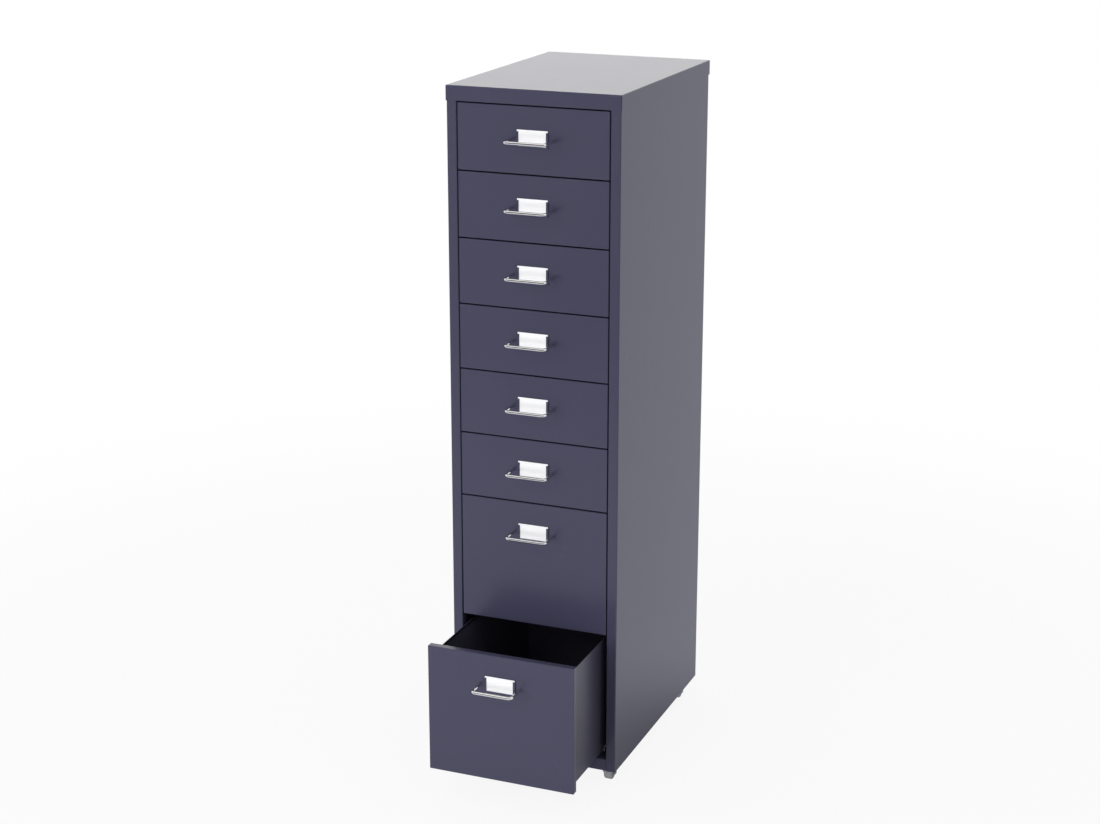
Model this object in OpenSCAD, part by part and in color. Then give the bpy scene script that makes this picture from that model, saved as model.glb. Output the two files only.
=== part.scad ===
// Eight-drawer cabinet of folded sheet steel on four small swivel casters.
// Six shallow drawers stand above two deep ones. Every drawer has a flush front, a wire pull
// and a label holder, and slides on a pair of plain Z-section runners.
// Millimetres. +X is the right-hand side, -Y faces the user, +Z is up, and the floor is z = 0.
// The lowest drawer stands part open. The origin is under the middle of the whole footprint.

/* [Body] */
// Width over the two side panels
body_w = 278; // [225:1:340]
// Depth from the front of the stiles to the back panel
body_d = 408; // [330:1:500]
// Thickness of the body, drawer and cap sheet
sheet_t = 0.6; // [0.5:0.05:1]
// Width of the stile folded along the front of each side panel
stile_w = 16; // [13:0.5:20]
// Depth of the fold behind each stile
stile_return = 14; // [10:1:15]
// Width of the flanges folded along the back and top of each side panel
flange_w = 11; // [8:1:14]
// Height of the front rail under the lowest drawer
rail_h = 20; // [18:1:30]
// Depth of the fold along the bottom of the front rail
rail_return = 9; // [6:1:12]

/* [Cap] */
// Height of the lip that runs round the cap
cap_lip = 23; // [18:1:30]
// Clearance between the cap's lip and the body
cap_clear = 0.6; // [0.2:0.1:1]
// Depth of the fold along the bottom of the cap's front lip
cap_return = 10; // [6:1:12]

/* [Drawers] */
// Height taken by each of the six shallow drawers, with one gap
shallow_pitch = 103; // [84:1:140]
// Height taken by the seventh drawer, with one gap
middle_pitch = 203; // [150:1:250]
// Height taken by the lowest drawer, with one gap
lowest_pitch = 211; // [150:1:260]
// Gap above and below each drawer front
front_gap = 2; // [1.5:0.1:3]
// Gap between a drawer front and the stile on each side
side_gap = 1.5; // [1:0.1:3]
// Depth of the folds round a drawer front
front_d = 12; // [9:1:14]
// Width of the flange inside the back of a drawer front
front_flange = 16; // [13:1:20]
// Distance from the side edge of a drawer front in to its tray's side
tray_inset = 9; // [7:0.5:16]
// Clearance between the back of a closed tray and the outside of the back panel
tray_back_gap = 28; // [8:1:60]
// Height of a tray's floor above the bottom edge of its front
tray_raise = 4; // [3:0.5:6]
// Depth of a tray's rim below the top edge of its front
tray_drop = 11; // [10:1:14]
// Height of the hem folded outwards along a tray's sides
hem_h = 6; // [4:0.5:9]
// Length of tray that stays inside the cabinet when a drawer is open to its stop
tray_held = 100; // [70:5:150]
// Distance that the lowest drawer stands open at rest
rest_open = 135; // [0:5:200]

/* [Runners] */
// Thickness of the runner steel
runner_t = 1; // [0.8:0.1:1.5]
// Clearance between a tray's floor and its runner
runner_clear = 0.3; // [0.1:0.1:0.5]
// Clearance between a tray's side and its runner's guide
side_play = 1; // [0.8:0.1:1.5]
// Width of the runner's shelf under a tray
shelf_w = 9; // [6:0.5:14]
// Height of the runner's guide above a tray's floor
guide_h = 9; // [7:0.5:14]
// Height of the runner's web on the side panel
web_h = 14; // [10:1:20]
// Distance from the stile's face to the front end of a runner
runner_setback = 18; // [16:1:30]
// Distance from the back panel to the rear end of a runner
runner_end_gap = 5; // [4:1:20]
// Clearance between a tray's horn and the runner above it
horn_clear = 1; // [0.8:0.1:2]
// Length of the raised horn at the back of a tray's sides
horn_l = 24; // [15:1:40]
// Height of the stop tab under the runner above
stop_h = 8; // [6:0.5:9]

/* [Pulls and labels] */
// Distance between the centres of a pull's two arms
pull_span = 64; // [60:1:96]
// Distance from a drawer front to the centre of its pull's bar
pull_reach = 34; // [25:1:45]
// Diameter of the pull's wire
wire_d = 5; // [4:0.5:7]
// Radius of the pull's bends at the centre of the wire
bend_r = 7; // [5:0.5:12]
// Depth of a pull below the top edge of its drawer front
pull_drop = 49.5; // [42:0.5:55]
// Width of a label card
card_w = 49.5; // [40:0.5:50]
// Height of a label card
card_h = 25; // [18:0.5:28]
// Thickness of a label card
card_t = 0.7; // [0.4:0.1:1]
// Depth of a card's top edge below the top edge of its drawer front
card_drop = 34.5; // [28:0.5:36]
// Height of card that stands above the holder's channels
card_proud = 2.5; // [2:0.5:5]
// Thickness of the label holder's steel
holder_t = 0.6; // [0.5:0.1:0.8]
// Width of the lips that hold a card
lip_w = 3; // [2:0.5:4]

/* [Casters] */
// Diameter of a caster wheel
wheel_d = 24; // [20:1:30]
// Width of a wheel's tread
tread_w = 13; // [10:0.5:14]
// Clearance between the top of a wheel and the body's bottom edge
wheel_clear = 1; // [0.8:0.1:5]
// Distance from the body's side to a caster's swivel axis
caster_inset_x = 18.5; // [18:0.5:40]
// Distance from the body's front and back to a caster's swivel axis
caster_inset_y = 37; // [32:1:60]
// Distance from the swivel axis forward to the wheel's axle
trail = 10; // [8:0.5:12]
// Thickness of a caster's fork and plate
fork_t = 1.5; // [1.2:0.1:1.8]
// Running clearance of the casters' turning fits, on the radius
turn_clear = 0.05; // [0.02:0.01:0.1]

/* [Hidden] */
$fn = 48;
eps = 0.01;
// Length by which a cutting shape passes the surface that it cuts
cut = 1;
shallow_count = 6;
pitches = concat([for (i = [1:shallow_count]) shallow_pitch], [middle_pitch, lowest_pitch]);
lowest = len(pitches);
DRAWERS = [1:lowest];
CORNERS = [["front_left", -1, -1], ["front_right", 1, -1], ["rear_left", -1, 1], ["rear_right", 1, 1]];
DRAWER_PARTS = ["front", "tray", "pull", "label_holder", "label_card"];

// Heights, built up from the floor
ground_gap = wheel_d + wheel_clear;
rail_top = ground_gap + rail_h;
function pitch_sum(n) = n == 0 ? 0 : pitches[n - 1] + pitch_sum(n - 1);
opening_top = rail_top + front_gap + pitch_sum(lowest);
cap_top = opening_top + cap_lip;
function front_top(i) = opening_top - front_gap - pitch_sum(i - 1);
function front_bottom(i) = front_top(i) - pitches[i - 1] + front_gap;
function tray_floor(i) = front_bottom(i) + tray_raise;
function shelf_above(i) = front_top(i) + front_gap + tray_raise - runner_clear - runner_t;
function tray_rim(i) = front_top(i) - tray_drop;
function pull_z(i) = front_top(i) - pull_drop;
function open_by(i) = i == lowest ? rest_open : 0;

// Widths, as distances from the middle plane
half_w = body_w / 2;
opening_x = half_w - stile_w;
front_x = opening_x - side_gap;
tray_x = front_x - tray_inset;
guide_x = tray_x + side_play;
inner_x = half_w - sheet_t;

// Depths: the whole footprint, with the open drawer and its pull, is centred on the origin
cap_out = cap_clear + sheet_t;
pull_out = pull_reach + wire_d / 2;
front_y = (rest_open + pull_out - body_d - cap_out) / 2;
back_y = front_y + body_d;
flange_y = back_y - 2 * sheet_t;
tray_d = body_d - tray_back_gap;
drawer_travel = tray_d - tray_held;
horn_y = tray_d - horn_l;
stop_gap = 0.5;
stop_y = horn_y - drawer_travel - stop_gap - runner_t;

// Pulls, their screws and the label holders
thread_r = 1.6;
thread_slack = 0.05;
thread_depth = 9;
screw_tip_gap = 0.5;
screw_hole_r = 2.2;
screw_head_r = 3.5;
screw_head_h = 2.4;
access_r = 5.5;
holder_slack = 0.3;
foot_lip = 1;
card_gap = 0.1;
holder_half = card_w / 2 + holder_slack + holder_t;
holder_bottom_drop = card_drop + card_h + holder_t;
lip_out = 2 * holder_t + card_t + 2 * card_gap;

// Casters
caster_x = half_w - caster_inset_x;
plate_x = 16;
plate_y = 18;
screw_x = 12;
screw_y = 14;
caster_screw_r = 2;
caster_head_r = 3.4;
caster_head_h = 1.3;
screw_stub = 1.5;
kingpin_r = 2.5;
kingpin_head_r = 4.5;
kingpin_head_h = 1.2;
swivel_gap = 0.3;
axle_r = 1.5;
rivet_slack = 0.02;
axle_head_r = 3;
axle_head_h = 1.6;
axle_boss_r = 4.5;
hub_proud = 0.7;
hub_r = 5;
tread_round = 2.2;
leg_gap = 0.4;
crown_back = 8;
crown_front = 9;
crown_leg = 6;
plate_top = rail_top - sheet_t;
plate_bottom = plate_top - fork_t;
crown_top = plate_bottom - swivel_gap;
leg_x = tread_w / 2 + hub_proud + leg_gap;
axle_z = wheel_d / 2;

// A block between two opposite corners
module block(low, high) {
    translate(low) cube(high - low);
}

// A rectangle between two opposite corners
module patch(low, high) {
    translate(low) square(high - low);
}

// A round bar of radius r along +Y from y0 to y1
module bar_y(r, x, z, y0, y1) {
    translate([x, y0, z]) rotate([-90, 0, 0]) cylinder(r = r, h = y1 - y0);
}

// A round bar of radius r along +X from x0 to x1
module bar_x(r, y, z, x0, x1) {
    translate([x0, y, z]) rotate([0, 90, 0]) cylinder(r = r, h = x1 - x0);
}

// ---------- Body ----------

// Right-hand side panel: web, front stile with its return, rear flange and top flange
module side_panel() {
    color([0.30, 0.29, 0.37]) {
        translate([0, 0, ground_gap]) linear_extrude(cap_top - sheet_t - ground_gap) {
            patch([inner_x, front_y], [half_w, back_y]);
            patch([opening_x, front_y], [half_w, front_y + sheet_t]);
            patch([opening_x, front_y], [opening_x + sheet_t, front_y + stile_return]);
            patch([inner_x - flange_w, flange_y], [half_w, flange_y + sheet_t]);
        }
        block([inner_x - flange_w, front_y + runner_setback, cap_top - 2 * sheet_t],
            [half_w, flange_y, cap_top - sheet_t]);
    }
}

module back_panel() {
    color([0.28, 0.27, 0.34])
        block([-inner_x, back_y - sheet_t, ground_gap], [inner_x, back_y, cap_top - sheet_t]);
}

// Cap: top sheet, a lip all round and a fold under the front lip
module top_cap() {
    lip_z = cap_top - cap_lip;
    out_x = half_w + cap_out;
    in_x = half_w + cap_clear;
    color([0.30, 0.29, 0.37]) {
        difference() {
            block([-out_x, front_y - cap_out, lip_z], [out_x, back_y + cap_out, cap_top]);
            block([-in_x, front_y - cap_clear, lip_z - cut], [in_x, back_y + cap_clear, cap_top - sheet_t]);
        }
        block([-opening_x, front_y - cap_out, lip_z], [opening_x, front_y + cap_return, lip_z + sheet_t]);
    }
}

// Base pan: floor with downturned lips, whose front lip is the rail under the lowest drawer
module base_pan() {
    notch_y = front_y + stile_return;
    lip_y = flange_y - sheet_t;
    color([0.28, 0.27, 0.34]) {
        difference() {
            union() {
                block([-inner_x, notch_y, plate_top], [inner_x, flange_y, rail_top]);
                block([-opening_x, front_y, plate_top], [opening_x, notch_y + eps, rail_top]);
            }
            for (c = CORNERS) at_caster(c) screw_places() translate([0, 0, plate_top - cut])
                cylinder(r = caster_screw_r, h = sheet_t + 2 * cut);
        }
        block([-opening_x, front_y, ground_gap], [opening_x, front_y + sheet_t, rail_top]);
        block([-opening_x, front_y, ground_gap], [opening_x, front_y + rail_return, ground_gap + sheet_t]);
        block([-inner_x, lip_y, ground_gap], [inner_x, flange_y, rail_top]);
        for (s = [-1, 1]) scale([s, 1, 1])
            block([inner_x - sheet_t, notch_y, ground_gap], [inner_x, flange_y, rail_top]);
    }
}

// One right-hand runner: web, upper shelf, guide and the lower shelf that carries a tray
module runner(floor_z) {
    y0 = front_y + runner_setback;
    y1 = back_y - runner_end_gap;
    low_z = floor_z - runner_clear - runner_t;
    high_z = floor_z + guide_h;
    block([guide_x - side_play - shelf_w, y0, low_z], [guide_x + runner_t, y1, low_z + runner_t]);
    block([guide_x, y0, low_z], [guide_x + runner_t, y1, high_z]);
    block([guide_x, y0, high_z - runner_t], [inner_x, y1, high_z]);
    block([inner_x - runner_t, y0, high_z - runner_t], [inner_x, y1, high_z + web_h]);
}

// Tab under the shelf or guide above a drawer, which stops the horn of its tray
module stop_tab(low_z) {
    block([guide_x - side_play - shelf_w, front_y + stop_y, low_z - stop_h],
        [guide_x - side_play / 2, front_y + stop_y + runner_t, low_z + runner_t]);
}

// Guide over the top drawer's horns: a plain angle
module top_guide() {
    y0 = front_y + runner_setback;
    y1 = back_y - runner_end_gap;
    low_z = shelf_above(1);
    block([guide_x - side_play - shelf_w, y0, low_z], [inner_x, y1, low_z + runner_t]);
    block([inner_x - runner_t, y0, low_z], [inner_x, y1, low_z + web_h]);
}

module runner_set() {
    color([0.45, 0.45, 0.47]) {
        top_guide();
        for (i = DRAWERS) {
            runner(tray_floor(i));
            stop_tab(shelf_above(i));
        }
    }
}

// ---------- Drawers ----------

// Moves a drawer's pieces from the closed place to where drawer i stands at rest
module in_drawer(i) {
    translate([0, front_y - open_by(i), 0]) children();
}

// Front: face, folds all round and a flange inside the back
module drawer_front(i) {
    z0 = front_bottom(i);
    z1 = front_top(i);
    edge = front_x - sheet_t;
    hole = front_x - front_flange;
    color([0.33, 0.31, 0.40]) in_drawer(i) difference() {
        block([-front_x, 0, z0], [front_x, front_d, z1]);
        block([-edge, sheet_t, z0 + sheet_t], [edge, front_d - sheet_t, z1 - sheet_t]);
        block([-hole, sheet_t, z0 + front_flange], [hole, front_d + cut, z1 - front_flange]);
        for (s = [-1, 1]) bar_y(screw_hole_r, s * pull_span / 2, pull_z(i), -cut, sheet_t + cut);
    }
}

// Tray: five walls, hems along the sides and a raised horn at the back of each side
module drawer_tray(i) {
    z0 = tray_floor(i);
    z1 = tray_rim(i);
    horn_top = shelf_above(i) - horn_clear;
    color([0.25, 0.24, 0.30]) in_drawer(i) {
        difference() {
            block([-tray_x, front_d, z0], [tray_x, tray_d, z1]);
            block([sheet_t - tray_x, front_d + sheet_t, z0 + sheet_t],
                [tray_x - sheet_t, tray_d - sheet_t, z1 + cut]);
            for (s = [-1, 1])
                bar_y(access_r, s * pull_span / 2, pull_z(i), front_d - cut, front_d + sheet_t + cut);
        }
        for (s = [-1, 1]) scale([s, 1, 1]) {
            block([tray_x - sheet_t, front_d, z1 - hem_h], [tray_x + sheet_t, horn_y, z1]);
            block([tray_x - sheet_t, horn_y - eps, z1 - hem_h], [tray_x, tray_d, horn_top]);
        }
    }
}

// Pull: one bent wire with a tapped hole in each end, and the two screws that hold it
module drawer_pull(i) {
    x = pull_span / 2;
    wire_r = wire_d / 2;
    color([0.80, 0.80, 0.78]) in_drawer(i) {
        difference() {
            union() {
                for (s = [-1, 1]) scale([s, 1, 1]) {
                    bar_y(wire_r, x, pull_z(i), bend_r - pull_reach, 0);
                    translate([x - bend_r, bend_r - pull_reach, pull_z(i)])
                        rotate_extrude(angle = -90) translate([bend_r, 0]) circle(r = wire_r);
                }
                bar_x(wire_r, -pull_reach, pull_z(i), bend_r - x, x - bend_r);
            }
            for (s = [-1, 1]) bar_y(thread_r, s * x, pull_z(i), -thread_depth, cut);
        }
        for (s = [-1, 1]) {
            bar_y(thread_r - thread_slack, s * x, pull_z(i), screw_tip_gap - thread_depth, sheet_t + eps);
            bar_y(screw_head_r, s * x, pull_z(i), sheet_t, sheet_t + screw_head_h);
        }
    }
}

// Label holder: back plate with a channel up each side and along the bottom
module label_holder(i) {
    top_z = front_top(i) - card_drop - card_proud;
    low_z = front_top(i) - holder_bottom_drop;
    inside = holder_half - holder_t;
    color([0.29, 0.28, 0.36]) in_drawer(i) difference() {
        block([-holder_half, -lip_out, low_z], [holder_half, 0, top_z]);
        block([-inside, holder_t - lip_out, low_z + holder_t], [inside, -holder_t, top_z + cut]);
        block([lip_w - inside, -lip_out - cut, low_z + holder_t + foot_lip],
            [inside - lip_w, -holder_t, top_z + cut]);
    }
}

module label_card(i) {
    top_z = front_top(i) - card_drop;
    color([0.97, 0.97, 0.96]) in_drawer(i)
        block([-card_w / 2, -holder_t - card_gap - card_t, top_z - card_h],
            [card_w / 2, -holder_t - card_gap, top_z]);
}

// ---------- Casters ----------

// Moves a caster's pieces from its swivel axis to corner c
module at_caster(c) {
    y = c[2] < 0 ? front_y + caster_inset_y : back_y - caster_inset_y;
    translate([c[1] * caster_x, y, 0]) children();
}

module screw_places() {
    for (sx = [-1, 1]) for (sy = [-1, 1]) translate([sx * screw_x, sy * screw_y, 0]) children();
}

module caster_plates() {
    color([0.70, 0.70, 0.70]) for (c = CORNERS) at_caster(c) difference() {
        block([-plate_x, -plate_y, plate_bottom], [plate_x, plate_y, plate_top]);
        translate([0, 0, plate_bottom - cut]) {
            cylinder(r = kingpin_r, h = fork_t + 2 * cut);
            screw_places() cylinder(r = caster_screw_r, h = fork_t + 2 * cut);
        }
    }
}

module caster_kingpins() {
    head_top = crown_top - fork_t - swivel_gap;
    color([0.60, 0.60, 0.60]) for (c = CORNERS) at_caster(c) {
        translate([0, 0, head_top - eps]) cylinder(r = kingpin_r, h = plate_top - head_top + eps);
        translate([0, 0, head_top - kingpin_head_h]) cylinder(r = kingpin_head_r, h = kingpin_head_h);
    }
}

module caster_screws() {
    color([0.75, 0.75, 0.72]) for (c = CORNERS) at_caster(c) screw_places() {
        translate([0, 0, plate_bottom]) cylinder(r = caster_screw_r, h = rail_top + screw_stub - plate_bottom);
        translate([0, 0, plate_bottom - caster_head_h]) cylinder(r = caster_head_r, h = caster_head_h);
    }
}

// Outline of a fork's leg in the (y, z) plane: from the crown down and forward to the axle
module leg_outline() {
    difference() {
        union() {
            polygon([[crown_back, crown_top], [-crown_front, crown_top], [-trail - axle_boss_r, axle_z],
                [axle_boss_r - trail, axle_z], [crown_back, crown_top - fork_t - crown_leg]]);
            translate([-trail, axle_z]) circle(r = axle_boss_r);
        }
        translate([-trail, axle_z]) circle(r = axle_r + rivet_slack);
    }
}

// Fork: crown with the kingpin's hole and two legs, and the riveted axle through the legs
module caster_fork(c) {
    out_x = leg_x + fork_t;
    head_x = out_x + rivet_slack;
    color([0.68, 0.68, 0.68]) at_caster(c) {
        difference() {
            block([-out_x, -crown_front, crown_top - fork_t], [out_x, crown_back, crown_top]);
            translate([0, 0, crown_top - fork_t - cut])
                cylinder(r = kingpin_r + turn_clear, h = fork_t + 2 * cut);
        }
        for (x = [leg_x, -out_x]) translate([x, 0, 0])
            rotate([90, 0, 90]) linear_extrude(fork_t) leg_outline();
        bar_x(axle_r, -trail, axle_z, -head_x - eps, head_x + eps);
        for (x = [-head_x - axle_head_h, head_x])
            bar_x(axle_head_r, -trail, axle_z, x, x + axle_head_h);
    }
}

// Wheel: rounded tread with a raised hub on each side and a running bore
module caster_wheel(c) {
    half = tread_w / 2;
    hub = half + hub_proud;
    rim = wheel_d / 2;
    bore = axle_r + turn_clear;
    color([0.62, 0.62, 0.64]) at_caster(c) translate([0, -trail, axle_z]) rotate([0, 90, 0])
        rotate_extrude() {
            patch([bore, -hub], [hub_r, hub]);
            patch([hub_r - eps, -half], [rim - tread_round, half]);
            patch([bore, tread_round - half], [rim, half - tread_round]);
            for (s = [-1, 1]) translate([rim - tread_round, s * (half - tread_round)])
                circle(r = tread_round);
        }
}

// ---------- Nodes ----------

mirror([1, 0, 0]) side_panel();  // left_side
side_panel();  // right_side
back_panel();
top_cap();
base_pan();
mirror([1, 0, 0]) runner_set();  // left_runners
runner_set();  // right_runners
caster_plates();
caster_kingpins();
caster_screws();
for (c = CORNERS) caster_fork(c);
for (c = CORNERS) caster_wheel(c);
for (i = DRAWERS) drawer_front(i);
for (i = DRAWERS) drawer_tray(i);
for (i = DRAWERS) drawer_pull(i);
for (i = DRAWERS) label_holder(i);
for (i = DRAWERS) label_card(i);
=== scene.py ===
"""The looks of a tall sheet-steel drawer cabinet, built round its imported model.

A folded panel, tray or holder is made from its outer skin: the folds are rounded, and then the skin
gets the thickness of the sheet. Lengths are in millimetres until a piece is finished, and in metres
after. The studio is in metres.
"""

import logging
import math
from collections.abc import Callable, Iterable
from dataclasses import dataclass, field
from enum import Enum

import bmesh
import bpy
from bmesh.types import BMEdge, BMFace, BMVert
from mathutils import Matrix, Vector


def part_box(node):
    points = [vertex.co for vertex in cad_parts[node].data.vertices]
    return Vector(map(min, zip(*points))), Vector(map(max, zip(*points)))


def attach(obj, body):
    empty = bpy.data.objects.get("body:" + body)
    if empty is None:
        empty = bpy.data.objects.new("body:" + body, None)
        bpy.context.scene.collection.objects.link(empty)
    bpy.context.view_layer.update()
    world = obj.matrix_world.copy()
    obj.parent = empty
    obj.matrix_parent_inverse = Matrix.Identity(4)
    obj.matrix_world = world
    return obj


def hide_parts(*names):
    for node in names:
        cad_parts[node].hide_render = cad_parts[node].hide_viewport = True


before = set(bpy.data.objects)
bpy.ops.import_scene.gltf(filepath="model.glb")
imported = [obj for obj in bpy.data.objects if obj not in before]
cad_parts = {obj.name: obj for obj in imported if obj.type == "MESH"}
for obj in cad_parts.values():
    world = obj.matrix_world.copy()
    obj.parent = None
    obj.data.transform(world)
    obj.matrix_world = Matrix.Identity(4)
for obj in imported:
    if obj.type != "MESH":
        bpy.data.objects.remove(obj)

LOG = logging.getLogger("drawer_cabinet")
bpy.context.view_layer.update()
DRAWERS = 8
QUARTER = math.pi / 2

# A millimetre in metres, and the distance in millimetres within which two places are the same.
MM = 0.001
TOUCH = 0.001

# Below the first angle two faces are joined, above the second their edge is softened, and above the
# third it is shaded as a sharp one.
FLAT_TURN = math.radians(1.0)
SOFT_TURN = math.radians(40.0)
SHARP_TURN = math.radians(42.0)

# The outline of a pan head and its recess, as shares of the head's radius and height.
PAN_HEAD = ((0, 0), (1, 0), (1, 0.45), (0.92, 0.72), (0.72, 0.9), (0.4, 1), (0.3, 0.55), (0, 0.5))

Point = tuple[float, float, float]
Flat = tuple[float, float]
Colour = tuple[float, float, float]
Socket = bpy.types.NodeSocket


class Slot(Enum):
    """The record's material slots, one for each finish."""

    BODY = "body_paint"
    FRONT = "front_paint"
    TRAY = "tray_paint"
    PULL = "nickel"
    HARDWARE = "zinc"
    WHEEL = "wheel_plastic"
    CARD = "card"


class Axis(Enum):
    """The three directions of the cabinet: across it, into it and up."""

    ACROSS = 0
    DEEP = 1
    UP = 2


Finishes = dict[Slot, bpy.types.Material]


# ---- Shader building ----


@dataclass(frozen=True)
class Num:
    """A number that varies over a surface.

    Attributes:
        shader: the material or world that the number belongs to.
        socket: the node output that carries it.
    """

    shader: "Shader"
    socket: Socket

    def _with(self, operation: str, first: "Value", second: "Value") -> "Num":
        """Adds one Math node of two values."""
        made = self.shader.node("ShaderNodeMath", {"operation": operation}, {0: first, 1: second})
        return Num(self.shader, made.outputs[0])

    def __add__(self, other: "Value") -> "Num":
        """Returns the sum."""
        return self._with("ADD", self, other)

    def __sub__(self, other: "Value") -> "Num":
        """Returns the difference."""
        return self._with("SUBTRACT", self, other)

    def __rsub__(self, other: "Value") -> "Num":
        """Returns the difference from a number on the left."""
        return self._with("SUBTRACT", other, self)

    def __mul__(self, other: "Value") -> "Num":
        """Returns the product."""
        return self._with("MULTIPLY", self, other)

    __radd__ = __add__
    __rmul__ = __mul__

    def most(self, other: "Value") -> "Num":
        """Returns the larger of two values."""
        return self._with("MAXIMUM", self, other)

    def swing(self, amount: float) -> "Num":
        """Returns how far the number is from one half, times an amount."""
        return (self - 0.5) * amount

    def between(self, low: float, high: float) -> "Num":
        """Rises smoothly from 0 at one level to 1 at another.

        Args:
            low: the level at which the result leaves 0.
            high: the level at which the result reaches 1.

        Returns:
            The smoothed share, from 0 to 1.
        """
        settings = {"interpolation_type": "SMOOTHSTEP", "clamp": True}
        values = {"Value": self, "From Min": low, "From Max": high, "To Min": 0.0, "To Max": 1.0}
        made = self.shader.node("ShaderNodeMapRange", settings, values)
        return Num(self.shader, made.outputs["Result"])


Value = Num | float


class Shader:
    """The node tree of a material or of the world, under construction."""

    def __init__(self, owner: bpy.types.ID) -> None:
        """Empties the owner's node tree.

        Args:
            owner: the material or world that the nodes go into.
        """
        owner.use_nodes = True
        self.tree = owner.node_tree
        self.tree.nodes.clear()

    def node(self, kind: str, settings: dict | None = None, inputs: dict | None = None) -> bpy.types.Node:
        """Adds one node.

        Args:
            kind: the node's type.
            settings: the node's own properties, which are set first.
            inputs: a value, a number or a socket for each named or numbered input.

        Returns:
            The new node.
        """
        made = self.tree.nodes.new(kind)
        for name, value in (settings or {}).items():
            setattr(made, name, value)
        for name, value in (inputs or {}).items():
            source = value.socket if isinstance(value, Num) else value
            if isinstance(source, Socket):
                self.tree.links.new(source, made.inputs[name])
            else:
                made.inputs[name].default_value = source
        return made

    def place(self, stretch: Point = (1.0, 1.0, 1.0)) -> Socket:
        """Returns the object's own coordinates, in metres; a stretch over 1 makes a pattern finer."""
        source = self.node("ShaderNodeTexCoord").outputs["Object"]
        return self.node("ShaderNodeMapping", inputs={"Vector": source, "Scale": stretch}).outputs[0]

    def noise(self, place: Socket, size: float, detail: float) -> Num:
        """Returns soft noise from 0 to 1, with patches of a size in millimetres and finer layers."""
        values = {"Vector": place, "Scale": 1 / (size * MM), "Detail": detail, "Roughness": 0.5}
        return Num(self, self.node("ShaderNodeTexNoise", inputs=values).outputs["Fac"])

    def cells(self, place: Socket, size: float) -> Num:
        """Returns one random level for each crystal-like cell.

        Args:
            place: the coordinates that the cells read.
            size: the width of one cell, in millimetres.

        Returns:
            The level as a number from 0 to 1.
        """
        made = self.node("ShaderNodeTexVoronoi", inputs={"Vector": place, "Scale": 1 / (size * MM)})
        parts = self.node("ShaderNodeSeparateColor", inputs={"Color": made.outputs["Color"]})
        return Num(self, parts.outputs[0])

    def along(self, vector: Socket, axis: Axis) -> Num:
        """Returns a vector's part along one axis."""
        parts = self.node("ShaderNodeSeparateXYZ", inputs={"Vector": vector})
        return Num(self, parts.outputs[axis.value])

    def mix(self, first: Colour, second: Colour, share: Value) -> Socket:
        """Blends two colours.

        Args:
            first: the colour where share is 0.
            second: the colour where share is 1.
            share: the place between them.

        Returns:
            The colour output.
        """
        values = {0: share, 6: (*first, 1.0), 7: (*second, 1.0)}
        made = self.node("ShaderNodeMix", {"data_type": "RGBA", "clamp_factor": True}, values)
        return made.outputs[2]

    def tint(self, colour: Colour, spread: float, share: Value) -> Socket:
        """Makes a colour darker and lighter.

        Args:
            colour: the colour in the middle.
            spread: how much darker and lighter it gets, as a share of itself.
            share: 0 where it is darkest and 1 where it is lightest.

        Returns:
            The colour output.
        """
        dark = tuple(part * (1 - spread) for part in colour)
        light = tuple(part * (1 + spread) for part in colour)
        return self.mix(dark, light, share)

    def relief(self, height: Num, depth: float, under: Socket | None = None) -> Socket:
        """Returns the normal of a shallow relief.

        Args:
            height: the relief's height, from 0 to 1.
            depth: the real height of 1, in millimetres.
            under: the normal of a coarser relief below it.

        Returns:
            The normal output.
        """
        values: dict = {"Height": height, "Distance": depth * MM, "Strength": 1.0}
        if under is not None:
            values["Normal"] = under
        return self.node("ShaderNodeBump", inputs=values).outputs["Normal"]

    def layers(self, below: Socket, above: Socket, share: Value) -> Socket:
        """Returns a surface that goes over into another as share goes from 0 to 1."""
        return self.node("ShaderNodeMixShader", inputs={0: share, 1: below, 2: above}).outputs[0]


@dataclass(frozen=True)
class Coating:
    """What every finish has. The widths and depths of its patterns are in millimetres.

    Attributes:
        name: the material's name.
        colour: the colour of its surface.
        roughness: how matt it is.
    """

    name: str
    colour: Colour
    roughness: float

    def inputs(self, shader: Shader) -> dict:
        """Returns the inputs of its surface."""
        raise NotImplementedError

    def make(self) -> bpy.types.Material:
        """Returns the finished material."""
        material = bpy.data.materials.new(self.name)
        shader = Shader(material)
        made = shader.node("ShaderNodeBsdfPrincipled", inputs=self.inputs(shader))
        shader.node("ShaderNodeOutputMaterial", inputs={"Surface": made.outputs[0]})
        return material


@dataclass(frozen=True)
class PowderCoat(Coating):
    """Satin powder coat: a cloudy, speckled colour, handling marks and an orange-peel skin.

    Attributes:
        cloud: width of one cloud.
        speck: width of one speck.
        mark: width of one handling mark.
        peel: width of the dimples in the skin.
        peel_depth: their depth.
        fine: width of the finer grain on them.
        fine_depth: its depth.
    """

    cloud: float = 120.0
    speck: float = 0.9
    mark: float = 26.0
    peel: float = 1.3
    peel_depth: float = 0.008
    fine: float = 0.45
    fine_depth: float = 0.002

    def inputs(self, shader: Shader) -> dict:
        """Returns the inputs of its surface."""
        place = shader.place()
        cloud = shader.noise(place, self.cloud, detail=3.0)
        speck = shader.noise(place, self.speck, detail=1.0)
        marks = shader.noise(place, self.mark, detail=4.0).between(0.52, 0.72)
        fine = shader.noise(place, self.fine, detail=1.0)
        peel = shader.relief(shader.noise(place, self.peel, detail=1.0), self.peel_depth)
        return {
            "Base Color": shader.tint(self.colour, 0.06, cloud * 0.6 + speck * 0.4),
            "Roughness": self.roughness + cloud.swing(0.02) + marks * 0.008 + speck.swing(0.03),
            "Normal": shader.relief(fine, self.fine_depth, peel),
            "IOR": 1.46,
        }


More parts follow.
